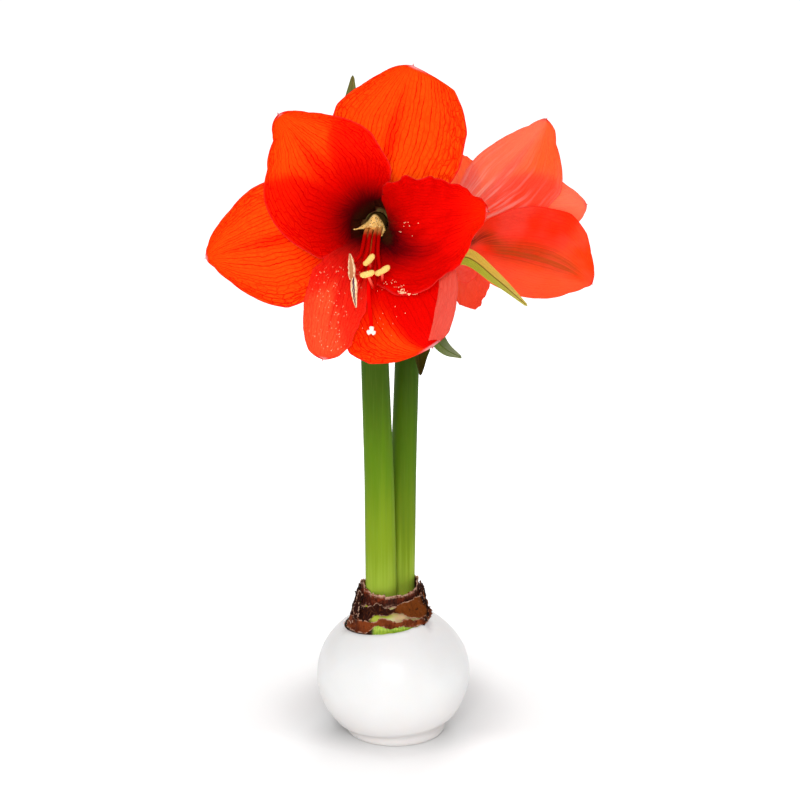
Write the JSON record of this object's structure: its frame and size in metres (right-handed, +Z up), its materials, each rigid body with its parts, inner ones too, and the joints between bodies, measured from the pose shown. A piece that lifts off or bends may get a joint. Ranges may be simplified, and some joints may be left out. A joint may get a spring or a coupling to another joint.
{
  "type": "waxed amaryllis bulb",
  "caption": "Amaryllis bulb dipped in white wax that stands on its own flat foot, with upright flower stalks, spathe bracts and wide funnel-shaped red flowers.",
  "frame": {"origin": "centre of the wax foot's flat underside, on the surface that the plant stands on", "axes": "+Z up along the flower stalks, -Y towards the viewer that the front flower faces, +X to that viewer's right"},
  "size_m": [0.2253, 0.2923, 0.4112],
  "materials": {
    "wax": "satin",
    "flesh": "satin",
    "tunic": "matte",
    "scape": "satin",
    "bract": "matte",
    "tube": "satin",
    "tepal": "satin",
    "corona": "satin",
    "stamen": "matte",
    "pistil": "satin"
  },
  "bodies": {
    "root": {"wax_coat": "wax", "bulb": "flesh", "tunic_lower": "tunic", "tunic_middle": "tunic", "tunic_inner": "tunic", "tunic_flap_left": "tunic", "tunic_flap_right": "tunic", "scape_left": "scape", "scape_right": "scape", "bract_upright": "bract", "bract_trailing": "bract", "bract_hanging": "bract", "bract_arching": "bract", "pedicel_front": "scape", "perianth_tube_front": "tube", "tepal_front_top": "tepal", "tepal_front_upper_left": "tepal", "tepal_front_left": "tepal", "tepal_front_lower_left": "tepal", "tepal_front_lower_right": "tepal", "tepal_front_right": "tepal", "corona_front": "corona", "stamen_front_1": "stamen", "stamen_front_2": "stamen", "stamen_front_3": "stamen", "stamen_front_4": "stamen", "stamen_front_5": "stamen", "stamen_front_6": "stamen", "pistil_front": "pistil", "pedicel_rear": "scape", "perianth_tube_rear": "tube", "tepal_rear_upper": "tepal", "tepal_rear_near": "tepal", "tepal_rear_lower": "tepal", "tepal_rear_bottom": "tepal", "tepal_rear_far": "tepal", "tepal_rear_far_upper": "tepal", "corona_rear": "corona", "stamen_rear_1": "stamen", "stamen_rear_2": "stamen", "stamen_rear_3": "stamen", "stamen_rear_4": "stamen", "stamen_rear_5": "stamen", "stamen_rear_6": "stamen", "pistil_rear": "pistil"}
  },
  "joints": []
}
